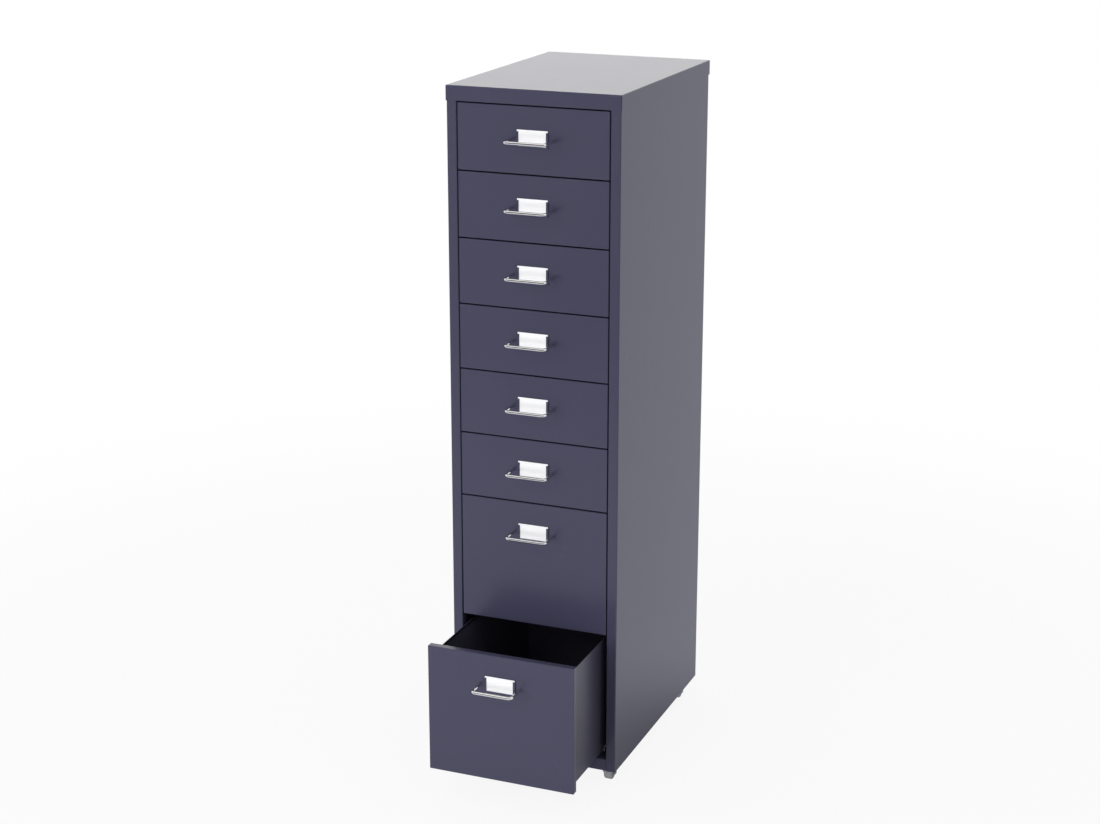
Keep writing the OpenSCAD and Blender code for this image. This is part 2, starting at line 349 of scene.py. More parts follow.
@dataclass(frozen=True)
class BrightNickel(Coating):
    """Polished nickel plate on drawn wire: nearly a mirror, with faint drawing lines and haze.

    Attributes:
        line: width of one drawing line.
        line_depth: its depth.
        haze: width of one patch of haze.
    """

    line: float = 0.35
    line_depth: float = 0.0004
    haze: float = 6.0

    def inputs(self, shader: Shader) -> dict:
        """Returns the inputs of its surface."""
        drawn = shader.noise(shader.place((0.06, 1.0, 1.0)), self.line, detail=2.0)
        haze = shader.noise(shader.place(), self.haze, detail=3.0)
        return {
            "Base Color": shader.tint(self.colour, 0.03, haze),
            "Roughness": self.roughness + haze.swing(0.03) + drawn * 0.01,
            "Metallic": 1.0,
            "Normal": shader.relief(drawn, self.line_depth),
        }


@dataclass(frozen=True)
class BrightZinc(Coating):
    """Bright zinc plate: small crystals of slightly different tone under a hazy skin.

    Attributes:
        crystal: width of one crystal.
        haze: width of one patch of haze.
        haze_depth: height of its unevenness.
    """

    crystal: float = 1.6
    haze: float = 9.0
    haze_depth: float = 0.006

    def inputs(self, shader: Shader) -> dict:
        """Returns the inputs of its surface."""
        place = shader.place()
        crystals = shader.cells(place, self.crystal)
        haze = shader.noise(place, self.haze, detail=4.0)
        return {
            "Base Color": shader.tint(self.colour, 0.14, crystals * 0.45 + haze * 0.55),
            "Roughness": self.roughness + crystals.swing(0.1) + haze.swing(0.12),
            "Metallic": 1.0,
            "Normal": shader.relief(haze, self.haze_depth),
        }


@dataclass(frozen=True)
class MouldedNylon(Coating):
    """Satin moulded nylon with fine grain and scuffs from rolling.

    Attributes:
        scuff: width of one scuff.
        grain: width of one grain.
        grain_depth: its depth.
    """

    scuff: float = 1.8
    grain: float = 0.4
    grain_depth: float = 0.01

    def inputs(self, shader: Shader) -> dict:
        """Returns the inputs of its surface."""
        scuff = shader.noise(shader.place((0.3, 1.0, 1.0)), self.scuff, detail=4.0).between(0.5, 0.7)
        grain = shader.noise(shader.place(), self.grain, detail=2.0)
        return {
            "Base Color": shader.tint(self.colour, 0.08, grain * 0.6 + scuff * 0.4),
            "Roughness": self.roughness + scuff * 0.16 + grain.swing(0.08),
            "Normal": shader.relief(grain, self.grain_depth),
        }


@dataclass(frozen=True)
class CardStock(Coating):
    """Smooth white card with faint fibres.

    Attributes:
        fibre: length of one fibre.
        fibre_depth: its height.
        mottle: width of one paler patch.
    """

    fibre: float = 0.8
    fibre_depth: float = 0.01
    mottle: float = 5.0

    def inputs(self, shader: Shader) -> dict:
        """Returns the inputs of its surface."""
        fibre = shader.noise(shader.place((1.0, 1.0, 3.0)), self.fibre, detail=4.0)
        mottle = shader.noise(shader.place(), self.mottle, detail=2.0)
        return {
            "Base Color": shader.tint(self.colour, 0.02, fibre * 0.5 + mottle * 0.5),
            "Roughness": self.roughness + fibre.swing(0.15),
            "Normal": shader.relief(fibre, self.fibre_depth),
        }


def finishes() -> Finishes:
    """Returns the cabinet's finishes, one for each slot."""
    paint = (0.053, 0.0515, 0.093)
    makers = {
        Slot.BODY: PowderCoat("body_powder_coat", paint, roughness=0.26),
        Slot.FRONT: PowderCoat("front_powder_coat", paint, roughness=0.26),
        Slot.TRAY: PowderCoat("tray_powder_coat", (0.060, 0.058, 0.088), roughness=0.3),
        Slot.PULL: BrightNickel("bright_nickel", (0.86, 0.85, 0.83), roughness=0.045),
        Slot.HARDWARE: BrightZinc("bright_zinc", (0.55, 0.56, 0.57), roughness=0.36),
        Slot.WHEEL: MouldedNylon("moulded_nylon", (0.42, 0.42, 0.45), roughness=0.42),
        Slot.CARD: CardStock("white_card", (0.945, 0.945, 0.965), roughness=0.7),
    }
    return {slot: maker.make() for slot, maker in makers.items()}


# ---- Mesh building ----


@dataclass(frozen=True)
class Box:
    """The box of a CAD node at rest, in millimetres.

    Attributes:
        low: its lowest corner.
        high: its highest corner.
    """

    low: Vector
    high: Vector

    @classmethod
    def of(cls, node: str) -> "Box":
        """Returns the box of a CAD node."""
        low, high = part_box(node)
        return cls(low / MM, high / MM)


def edges_at(corners: Iterable[BMVert]) -> list[BMEdge]:
    """Returns the edges that end at some vertices, each once."""
    return list(dict.fromkeys(edge for corner in corners for edge in corner.link_edges))


def runs_along(edge: BMEdge, axis: Axis) -> bool:
    """Returns whether an edge of a block runs along an axis."""
    return abs(edge.verts[0].co[axis.value] - edge.verts[1].co[axis.value]) > TOUCH


def in_scene(name: str, data: bpy.types.ID) -> bpy.types.Object:
    """Puts an object with this mesh, lamp or camera into the scene."""
    made = bpy.data.objects.new(name, data)
    bpy.context.scene.collection.objects.link(made)
    return made


def placed(point: Iterable[float], axis: str, angle: float = QUARTER) -> Matrix:
    """Returns the matrix that turns a shape about an axis and takes it to a point."""
    return Matrix.Translation(point) @ Matrix.Rotation(angle, 4, axis)


class Form:
    """A mesh in the making, in millimetres."""

    def __init__(self) -> None:
        """Starts with nothing."""
        self.mesh = bmesh.new()

    def block(self, low: Iterable[float], high: Iterable[float]) -> list[BMVert]:
        """Adds a block.

        Args:
            low: its lowest corner.
            high: its highest corner.

        Returns:
            Its vertices.
        """
        low, high = Vector(low), Vector(high)
        matrix = Matrix.Translation((low + high) / 2) @ Matrix.Diagonal((*(high - low), 1.0))
        return bmesh.ops.create_cube(self.mesh, size=1.0, matrix=matrix)["verts"]

    def band(self, path: list[Point], sweep: Point, outward: Point, radius: float) -> None:
        """Adds a folded band: a path of straight stretches, swept sideways, with rounded folds.

        Args:
            path: the corners of the band's outer skin.
            sweep: the sideways sweep that gives it its width.
            outward: the direction that the first stretch faces.
            radius: the radius of its folds.
        """
        corners = [self.mesh.verts.new(point) for point in path]
        edges = [self.mesh.edges.new(pair) for pair in zip(corners, corners[1:])]
        self.carry(edges, sweep)
        faces = [edge.link_faces[0] for edge in edges]
        self.face_out(faces, faces[0], outward)
        self.round({edge for face in faces for edge in face.edges if len(edge.link_faces) == 2}, radius)

    def carry(self, edges: list[BMEdge], sweep: Point) -> list[BMEdge]:
        """Extrudes edges along a sweep.

        Args:
            edges: the edges to extrude.
            sweep: how far and which way they go.

        Returns:
            The new edges at the far end.
        """
        made = bmesh.ops.extrude_edge_only(self.mesh, edges=edges)["geom"]
        moved = [part for part in made if isinstance(part, BMVert)]
        bmesh.ops.translate(self.mesh, verts=moved, vec=sweep)
        far = set(moved)
        return [part for part in made if isinstance(part, BMEdge) and set(part.verts) <= far]

    def ring(self, radius: float, place: Matrix, steps: int) -> list[BMEdge]:
        """Adds a ring of edges round a placed Z axis and returns them."""
        made = bmesh.ops.create_circle(self.mesh, radius=radius, segments=steps, matrix=place)
        return edges_at(made["verts"])

    def face_out(self, faces: list[BMFace], known: BMFace, outward: Point) -> None:
        """Turns connected faces the same way, so that one known face points outwards.

        Args:
            faces: the faces to turn.
            known: one of them.
            outward: the direction in which it has to point.
        """
        bmesh.ops.recalc_face_normals(self.mesh, faces=faces)
        known.normal_update()
        if known.normal.dot(Vector(outward)) < 0:
            bmesh.ops.reverse_faces(self.mesh, faces=faces)

    def faces_at(self, axis: Axis, level: float) -> list[BMFace]:
        """Returns the faces that lie in a plane across an axis."""
        return [
            face
            for face in self.mesh.faces
            if all(abs(corner.co[axis.value] - level) < TOUCH for corner in face.verts)
        ]

    def edges_where(self, test: Callable[[Vector, Vector], bool]) -> list[BMEdge]:
        """Returns the edges whose two ends pass a test."""
        return [edge for edge in self.mesh.edges if test(edge.verts[0].co, edge.verts[1].co)]

    def folds(self) -> list[BMEdge]:
        """Returns the edges between two faces."""
        return [edge for edge in self.mesh.edges if len(edge.link_faces) == 2]

    def sharp_edges(self) -> list[BMEdge]:
        """Returns the edges that need softening."""
        return [edge for edge in self.mesh.edges if edge.is_manifold and edge.calc_face_angle() > SOFT_TURN]

    def drop(self, faces: Iterable[BMFace]) -> None:
        """Takes faces away and leaves their edges."""
        bmesh.ops.delete(self.mesh, geom=list(faces), context="FACES_ONLY")

    def round(self, edges: Iterable[BMEdge], radius: float, steps: int = 3) -> None:
        """Rounds edges to a radius, with a number of faces across the rounding."""
        settings = {"affect": "EDGES", "profile": 0.5, "material": -1, "clamp_overlap": True}
        bmesh.ops.bevel(self.mesh, geom=list(edges), offset=radius, segments=steps, **settings)

    def wall(self, thickness: float) -> None:
        """Gives the skin its thickness, on its inner side."""
        bmesh.ops.solidify(self.mesh, geom=self.mesh.faces[:], thickness=thickness)

    def cut_across(self, axis: Axis, level: float) -> None:
        """Cuts every face along a plane.

        Args:
            axis: the axis that the plane is square to.
            level: the plane's place on it.
        """
        normal = Vector((0.0, 0.0, 0.0))
        normal[axis.value] = 1.0
        geometry = [*self.mesh.verts, *self.mesh.edges, *self.mesh.faces]
        bmesh.ops.bisect_plane(self.mesh, geom=geometry, dist=TOUCH, plane_co=normal * level, plane_no=normal)

    def turned(self, profile: list[Flat], place: Matrix, steps: int) -> None:
        """Adds a solid of revolution.

        Args:
            profile: its outline as (radius, height) pairs.
            place: where its own Z axis and origin go.
            steps: the number of faces round it.
        """
        before = set(self.mesh.verts)
        corners = [self.mesh.verts.new((radius, 0.0, height)) for radius, height in profile]
        edges = [self.mesh.edges.new(pair) for pair in zip(corners, corners[1:])]
        turn = {"axis": (0.0, 0.0, 1.0), "angle": 2 * math.pi, "steps": steps, "use_merge": True}
        bmesh.ops.spin(self.mesh, geom=[*corners, *edges], **turn)
        made = [corner for corner in self.mesh.verts if corner not in before]
        bmesh.ops.remove_doubles(self.mesh, verts=made, dist=TOUCH)
        made = [corner for corner in self.mesh.verts if corner not in before]
        bmesh.ops.transform(self.mesh, matrix=place, verts=made)
        faces = {face for corner in made for face in corner.link_faces}
        bmesh.ops.recalc_face_normals(self.mesh, faces=list(faces))

    def mirror_across(self) -> None:
        """Adds the mirror image on the other side of the middle plane, joined at the plane."""
        geometry = [*self.mesh.verts, *self.mesh.edges, *self.mesh.faces]
        bmesh.ops.mirror(self.mesh, geom=geometry, merge_dist=TOUCH, axis="X")
        bmesh.ops.recalc_face_normals(self.mesh, faces=self.mesh.faces[:])

    def flip_across(self) -> None:
        """Turns the whole form into its mirror image."""
        bmesh.ops.scale(self.mesh, verts=self.mesh.verts[:], vec=(-1.0, 1.0, 1.0))
        bmesh.ops.reverse_faces(self.mesh, faces=self.mesh.faces[:])

    def copy_node(self, node: str) -> None:
        """Starts from a CAD node's own shape, with its triangles joined into whole faces.

        Args:
            node: the CAD node.
        """
        self.mesh.from_mesh(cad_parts[node].data)
        bmesh.ops.scale(self.mesh, verts=self.mesh.verts[:], vec=(1 / MM,) * 3)
        bmesh.ops.remove_doubles(self.mesh, verts=self.mesh.verts[:], dist=TOUCH)
        verts, edges = self.mesh.verts[:], self.mesh.edges[:]
        bmesh.ops.dissolve_limit(self.mesh, angle_limit=FLAT_TURN, verts=verts, edges=edges)

    def finish(self, name: str, body: str, slot: Slot, finishes: Finishes, node: str) -> None:
        """Makes the form a finished piece that rides on a body and stands for a CAD node.

        Args:
            name: the piece's name.
            body: the CAD body that it moves with.
            slot: the record's slot for its finish.
            finishes: the finishes by slot.
            node: the CAD node that it stands for.
        """
        bmesh.ops.scale(self.mesh, verts=self.mesh.verts[:], vec=(MM,) * 3)
        data = bpy.data.meshes.new(name)
        self.mesh.to_mesh(data)
        self.mesh.free()
        data.shade_smooth()
        data.set_sharp_from_angle(angle=SHARP_TURN)
        data.materials.append(finishes[slot])
        piece = in_scene(name, data)
        weighted = piece.modifiers.new("flat_panels", "WEIGHTED_NORMAL")
        weighted.keep_sharp = True
        weighted.mode = "FACE_AREA"
        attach(piece, body)
        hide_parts(node)
        LOG.info("%s: %d faces on %s for %s", name, len(data.polygons), body, node)


@dataclass
class Sheet:
    """What all the folded pieces share.

    Attributes:
        thickness: the thickness of the sheet.
        bend: the outer radius of an ordinary fold.
    """

    thickness: float = 0.6
    bend: float = 1.3


# ---- Body ----


@dataclass
class Carcass:
    """The fixed sheet-metal body: side panels, back, cap and base pan.

    Attributes:
        finish: the finishes by slot.
        sheet: the sheet that it is folded from.
        stile: width of the stile along the front of each side panel.
        stile_return: depth of the fold behind each stile.
        flange: width of the flanges along the back and top of each side panel.
        setback: depth at which the top flange starts.
        side_bend: outer radius of the folds of the side panels and of the front rail.
        back_edge: radius of the back panel's softened edges.
        cap_bend: outer radius of the cap's edges.
        cap_fold: outer radius of the fold under the cap's front lip.
        cap_return: depth of that fold behind the stiles' face.
        cap_relief: width of the relief cut at each end of that fold.
        rail_return: depth of the fold along the bottom of the front rail.
        rail_tuck: how far the rail's ends reach into the stiles' rounded folds.
        opening: half the width between the stiles.
    """

    finish: Finishes
    sheet: Sheet
    stile: float = 16.0
    stile_return: float = 14.0
    flange: float = 11.0
    setback: float = 18.0
    side_bend: float = 1.6
    back_edge: float = 0.15
    cap_bend: float = 1.6
    cap_fold: float = 1.0
    cap_return: float = 10.0
    cap_relief: float = 0.5
    rail_return: float = 9.0
    rail_tuck: float = 0.35
    opening: float = field(init=False)

    def __post_init__(self) -> None:
        """Works out the half width of the opening between the stiles."""
        self.opening = Box.of("right_side").high.x - self.stile

    def side(self, node: str) -> None:
        """Builds one side panel, folded from one sheet.

        Args:
            node: the CAD node of the panel.
        """
        box = Box.of(node)
        outer = max(abs(box.low.x), abs(box.high.x))
        thin = self.sheet.thickness
        front, back = box.low.y, box.high.y - thin
        inner = outer - thin - self.flange
        outline = [(self.opening, front + self.stile_return), (self.opening, front)]
        outline += [(outer, front), (outer, back), (inner, back)]
        form = Form()
        path = [(x, y, box.low.z) for x, y in outline]
        form.band(path, (0.0, 0.0, box.high.z - box.low.z), (-1.0, 0.0, 0.0), self.side_bend)
        form.wall(thin)
        form.block((inner, front + self.setback, box.high.z - thin), (outer - thin, back - thin, box.high.z))
        if box.low.x < 0:
            form.flip_across()
        form.finish(f"{node}_panel", "cabinet", Slot.BODY, self.finish, node)

    def back(self) -> None:
        """Builds the back panel with softened edges."""
        box = Box.of("back_panel")
        form = Form()
        form.block(box.low, box.high)
        form.round(form.mesh.edges[:], self.back_edge, steps=2)
        form.finish("back_panel_sheet", "cabinet", Slot.BODY, self.finish, "back_panel")

    def cap(self) -> None:
        """Builds the cap: a top with rounded edges, a lip all round and a fold under the front lip."""
        box = Box.of("top_cap")
        form = Form()
        form.block(box.low, box.high)
        form.drop(form.faces_at(Axis.UP, box.low.z))
        bottom = box.low.z + TOUCH
        form.round(form.edges_where(lambda a, b: max(a.z, b.z) > bottom), self.cap_bend, steps=4)
        for cut in (self.opening, self.opening + self.cap_relief):
            form.cut_across(Axis.ACROSS, cut)
            form.cut_across(Axis.ACROSS, -cut)
        depth = Box.of("right_side").low.y + self.cap_return - box.low.y
        form.carry(self.front_lip(form, box), (0.0, depth, 0.0))
        form.round(self.front_lip(form, box), self.cap_fold)
        top = max(form.mesh.faces, key=lambda face: face.calc_center_median().z)
        form.face_out(form.mesh.faces[:], top, (0.0, 0.0, 1.0))
        form.wall(self.sheet.thickness)
        form.finish("top_cap_sheet", "cabinet", Slot.BODY, self.finish, "top_cap")

    def front_lip(self, form: Form, box: Box) -> list[BMEdge]:
        """Returns the bottom edge of the cap's front lip, between the stiles."""
        return form.edges_where(
            lambda a, b: max(a.z, b.z) < box.low.z + TOUCH
            and max(a.y, b.y) < box.low.y + TOUCH
            and max(abs(a.x), abs(b.x)) < self.opening + TOUCH
        )

    def base(self) -> None:
        """Builds the base pan: the rail under the lowest drawer, and a floor with downturned lips."""
        box = Box.of("base_pan")
        front, low, top = box.low.y, box.low.z, box.high.z
        notch = front + self.stile_return
        form = Form()
        form.block((box.low.x, notch, low), box.high)
        form.drop([*form.faces_at(Axis.UP, low), *form.faces_at(Axis.DEEP, notch)])
        form.round(form.folds(), self.sheet.bend)
        end = self.opening + self.rail_tuck
        rail = [(front + self.rail_return, low), (front, low), (front, top), (notch, top)]
        path = [(-end, y, z) for y, z in rail]
        form.band(path, (2 * end, 0.0, 0.0), (0.0, 0.0, -1.0), self.side_bend)
        form.wall(self.sheet.thickness)
        form.finish("base_pan_sheet", "cabinet", Slot.BODY, self.finish, "base_pan")

    def build(self) -> None:
        """Builds every piece of the body."""
        self.side("left_side")
        self.side("right_side")
        self.back()
        self.cap()
        self.base()


# ---- Drawers ----


@dataclass
class Drawer:
    """One drawer: its front, tray, wire pull, label holder and card.

    Attributes:
        number: the drawer's place, 1 at the top.
        finish: the finishes by slot.
        sheet: the sheet that it is folded from.
        face_bend: outer radius of the front's folds.
        flange: width of the flange inside the back of the front.
        rim_drop: depth of the tray's rim below the top of the front.
        hem: height of the hem along a tray's sides.
        hem_reach: how far the hem runs into the horn.
        hem_round: radius of its edges.
        horn: length of the raised horn at the back of a tray's sides.
        horn_round: radius of its upper corners.
        access: radius of the screw holes in the tray's front wall.
        wire: radius of the pull's wire.
        wire_bend: radius of its bends, at the middle of the wire.
        screw_head: radius of a pull screw's head.
        head_height: height of that head.
        holder_metal: thickness of the label holder's steel.
        holder_bend: outer radius of its folds.
        lip: width of the lips that hold the card.
        foot_lip: height of the lip along the holder's bottom.
        card_round: radius of the card's corners.
        card_edge: width of the softening along its edges.
    """

    number: int
    finish: Finishes
    sheet: Sheet
    face_bend: float = 1.2
    flange: float = 16.0
    rim_drop: float = 11.0
    hem: float = 6.0
    hem_reach: float = 1.0
    hem_round: float = 0.48
    horn: float = 24.0
    horn_round: float = 5.0
    access: float = 5.5
    wire: float = 2.5
    wire_bend: float = 7.0
    screw_head: float = 3.5
    head_height: float = 2.4
    holder_metal: float = 0.6
    holder_bend: float = 0.5
    lip: float = 3.0
    foot_lip: float = 1.0
    card_round: float = 0.8
    card_edge: float = 0.12

    def node(self, part: str) -> str:
        """Returns the name of one of this drawer's CAD nodes."""
        return f"drawer_{self.number}_{part}"

    def close(self, form: Form, part: str, slot: Slot, piece: str) -> None:
        """Finishes a form as one of this drawer's pieces, which stands for one of its parts."""
        body = f"drawer_{self.number}"
        form.finish(f"{body}_{piece}", body, slot, self.finish, self.node(part))

    def front(self) -> None:
        """Builds the front: a pan with rounded folds and a flange inside its back."""
        box = Box.of(self.node("front"))
        form = Form()
        form.block(box.low, box.high)
        rear = form.faces_at(Axis.DEEP, box.high.y)
        bmesh.ops.inset_region(form.mesh, faces=rear, thickness=self.flange, use_even_offset=True)
        form.drop(rear)
        form.round(form.sharp_edges(), self.face_bend)
        form.wall(self.sheet.thickness)
        self.close(form, "front", Slot.FRONT, "front_pan")

    def tray(self) -> None:
        """Builds the tray: five walls with rounded folds, screw holes, hems and horns."""
        box = Box.of(self.node("tray"))
        pull = Box.of(self.node("pull"))
        thin = self.sheet.thickness
        half = box.high.x - thin
        rim = Box.of(self.node("front")).high.z - self.rim_drop
        form = Form()
        form.block((-half, box.low.y, box.low.z), (half, box.high.y, rim - thin))
        form.drop(form.faces_at(Axis.UP, rim - thin))
        form.round(form.folds(), self.sheet.bend)
        self.pierce(form, box.low.y, (pull.low.z + pull.high.z) / 2, pull.high.x - self.wire)
        floor = min(form.mesh.faces, key=lambda face: face.calc_center_median().z)
        form.face_out(form.mesh.faces[:], floor, (0.0, 0.0, -1.0))
        form.wall(thin)
        for sign in (-1, 1):
            self.hem_and_horn(form, box, sign, half, rim)
        self.close(form, "tray", Slot.TRAY, "tray_pan")

    def pierce(self, form: Form, wall: float, height: float, across: float) -> None:
        """Cuts the two screw holes in the tray's front wall.

        Args:
            form: the tray's skin.
            wall: the depth of its front wall.
            height: the height of the holes.
            across: their distance from the middle.
        """
        face = max(form.faces_at(Axis.DEEP, wall), key=lambda item: item.calc_area())
        edges = list(face.edges)
        form.drop([face])
        for sign in (-1, 1):
            edges += form.ring(self.access, placed((sign * across, wall, height), "X"), steps=24)
        bmesh.ops.triangle_fill(form.mesh, edges=edges, use_beauty=True)

    def hem_and_horn(self, form: Form, box: Box, sign: int, half: float, rim: float) -> None:
        """Adds the rolled hem and the raised horn of one side.

        Args:
            form: the tray.
            box: the tray's CAD box.
            sign: -1 on the left and 1 on the right.
            half: half the tray's width over its walls.
            rim: the height of its rim.
        """
        thin = self.sheet.thickness
        start = box.high.y - self.horn
        sides = sorted((sign * (half - thin), sign * (half + thin)))
        hem = form.block((sides[0], box.low.y, rim - self.hem), (sides[1], start + self.hem_reach, rim))
        form.round([edge for edge in edges_at(hem) if runs_along(edge, Axis.DEEP)], self.hem_round)
        sides = sorted((sign * (half - thin), sign * half))
        horn = form.block((sides[0], start, rim - self.hem), (sides[1], box.high.y, box.high.z))
        edges = [edge for edge in edges_at(horn) if runs_along(edge, Axis.ACROSS)]
        form.round([edge for edge in edges if edge.verts[0].co.z > rim], self.horn_round, steps=5)

    def pull(self) -> None:
        """Builds the pull: one bent wire, and the two screws that hold it from inside."""
        box = Box.of(self.node("pull"))
        face = Box.of(self.node("front")).low.y
        arm = box.high.x - self.wire
        bar = box.low.y + self.wire
        height = (box.low.z + box.high.z) / 2
        form = Form()
        turn = arm - self.wire_bend
        ring = form.ring(self.wire, placed((0.0, bar, height), "Y"), steps=20)
        edges = form.carry(ring, (turn, 0.0, 0.0))
        bend = {"cent": (turn, bar + self.wire_bend, height), "axis": (0.0, 0.0, 1.0), "angle": QUARTER}
        made = bmesh.ops.spin(form.mesh, geom=edges, steps=8, **bend)["geom_last"]
        edges = [part for part in made if isinstance(part, BMEdge)]
        edges = form.carry(edges, (0.0, face - bar - self.wire_bend, 0.0))
        bmesh.ops.contextual_create(form.mesh, geom=edges)
        head = [(self.screw_head * out, self.head_height * up) for out, up in PAN_HEAD]
        seat = (arm, face + self.sheet.thickness, height)
        form.turned(head, placed(seat, "X", -QUARTER), steps=24)
        form.mirror_across()
        self.close(form, "pull", Slot.PULL, "wire_pull")

    def holder(self) -> None:
        """Builds the label holder: a back plate with a channel up each side and along the bottom."""
        box = Box.of(self.node("label_holder"))
        metal = self.holder_metal
        half, out, back = box.high.x, box.low.y, box.high.y
        mouth = half - metal - self.lip
        form = Form()
        outline = [(mouth, out), (half, out), (half, back), (-half, back), (-half, out), (-mouth, out)]
        path = [(x, y, box.low.z) for x, y in outline]
        form.band(path, (0.0, 0.0, box.high.z - box.low.z), (0.0, -1.0, 0.0), self.holder_bend)
        lip = box.low.z + metal + self.foot_lip
        path = [(-mouth, out, lip), (-mouth, out, box.low.z), (-mouth, back - metal, box.low.z)]
        form.band(path, (2 * mouth, 0.0, 0.0), (0.0, -1.0, 0.0), self.holder_bend)
        form.wall(metal)
        self.close(form, "label_holder", Slot.FRONT, "label_frame")

    def card(self) -> None:
        """Builds the blank card, with rounded corners and softened edges."""
        box = Box.of(self.node("label_card"))
        form = Form()
        form.block(box.low, box.high)
        corners = [edge for edge in form.mesh.edges if runs_along(edge, Axis.DEEP)]
        form.round(corners, self.card_round, steps=4)
        form.round(form.sharp_edges(), self.card_edge, steps=1)
        self.close(form, "label_card", Slot.CARD, "blank_card")

    def build(self) -> None:
        """Builds every piece of the drawer."""
        self.front()
        self.tray()
        self.pull()
        self.holder()
        self.card()


# ---- Runners and casters ----


@dataclass
class Hardware:
    """The runners and the casters, with softened edges.

    Attributes:
        finish: the finishes by slot.
        soften: width of the softening along the edges of stamped parts.
        bore: radius of a wheel's bore.
        hub: radius of its hub.
        rim: radius at which its rim starts.
        web_sink: depth of the recess between hub and rim.
        hub_proud: how far the hub stands out past the tread.
        corner: width of the softened corners of hub and rim.
        draft: how far the recess narrows towards its floor, on each side.
        tread_round: radius of the tread's rounded edges.
        tread_steps: number of faces across each of them.
    """

    finish: Finishes
    soften: float = 0.2
    bore: float = 1.55
    hub: float = 4.6
    rim: float = 8.4
    web_sink: float = 1.4
    hub_proud: float = 0.7
    corner: float = 0.35
    draft: float = 0.3
    tread_round: float = 2.2
    tread_steps: int = 4

    def stamped(self, node: str, body: str) -> None:
        """Builds a stamped or turned part with softened edges.

        Args:
            node: the CAD node whose shape it has.
            body: the CAD body that it moves with.
        """
        form = Form()
        form.copy_node(node)
        form.round(form.sharp_edges(), self.soften, steps=2)
        form.finish(f"{node}_made", body, Slot.HARDWARE, self.finish, node)

    def wheel(self, node: str) -> None:
        """Builds one wheel: a rounded tread, a recessed web and a raised hub.

        Args:
            node: the CAD node of the wheel.
        """
        box = Box.of(node)
        middle = (box.low + box.high) / 2
        radius = (box.high.z - box.low.z) / 2
        hub = (box.high.x - box.low.x) / 2
        half = hub - self.hub_proud
        web = half - self.web_sink
        soft = self.corner
        inner, outer = self.hub + self.draft, self.rim - self.draft
        side = [(self.bore, hub), (self.hub - soft, hub), (self.hub, hub - soft)]
        side += [(inner, web + soft), (inner + soft, web), (outer - soft, web), (outer, web + soft)]
        side += [(self.rim, half - soft), (self.rim + soft, half)]
        bend = self.tread_round
        for step in range(self.tread_steps + 1):
            angle = QUARTER * step / self.tread_steps
            side.append((radius - bend + bend * math.sin(angle), half - bend * (1 - math.cos(angle))))
        other = [(out, -up) for out, up in reversed(side)]
        form = Form()
        form.turned([*side, *other, side[0]], placed(middle, "Y"), steps=48)
        form.finish(f"{node}_tread", node, Slot.WHEEL, self.finish, node)

    def build(self) -> None:
        """Builds the runners and the casters."""
        for node in ("left_runners", "right_runners", "caster_plates", "caster_kingpins", "caster_screws"):
            self.stamped(node, "cabinet")
        for corner in ("front_left", "front_right", "rear_left", "rear_right"):
            self.stamped(f"{corner}_fork", f"{corner}_fork")
            self.wheel(f"{corner}_wheel")


# ---- Studio ----


@dataclass
class SoftBox:
    """One soft studio lamp.

    Attributes:
        name: its name.
        place: where it stands, in metres.
        aim: the point that it faces.
        width: its width.
        height: its height.
        radiance: the brightness of its face, where 1 is white.
        mirrored: whether it shows in glossy surfaces.
    """

    name: str
    place: Point
    aim: Point
    width: float
    height: float
    radiance: float
    mirrored: bool = False

    def build(self) -> None:
        """Hangs the lamp."""
        lamp = bpy.data.lights.new(self.name, "AREA")
        lamp.shape = "RECTANGLE"
        lamp.size = self.width
        lamp.size_y = self.height
        lamp.energy = self.radiance * math.pi * self.width * self.height
        holder = in_scene(self.name, lamp)
        holder.location = self.place
        holder.rotation_euler = (Vector(self.aim) - Vector(self.place)).to_track_quat("-Z", "Y").to_euler()
        holder.visible_camera = False
        holder.visible_glossy = self.mirrored


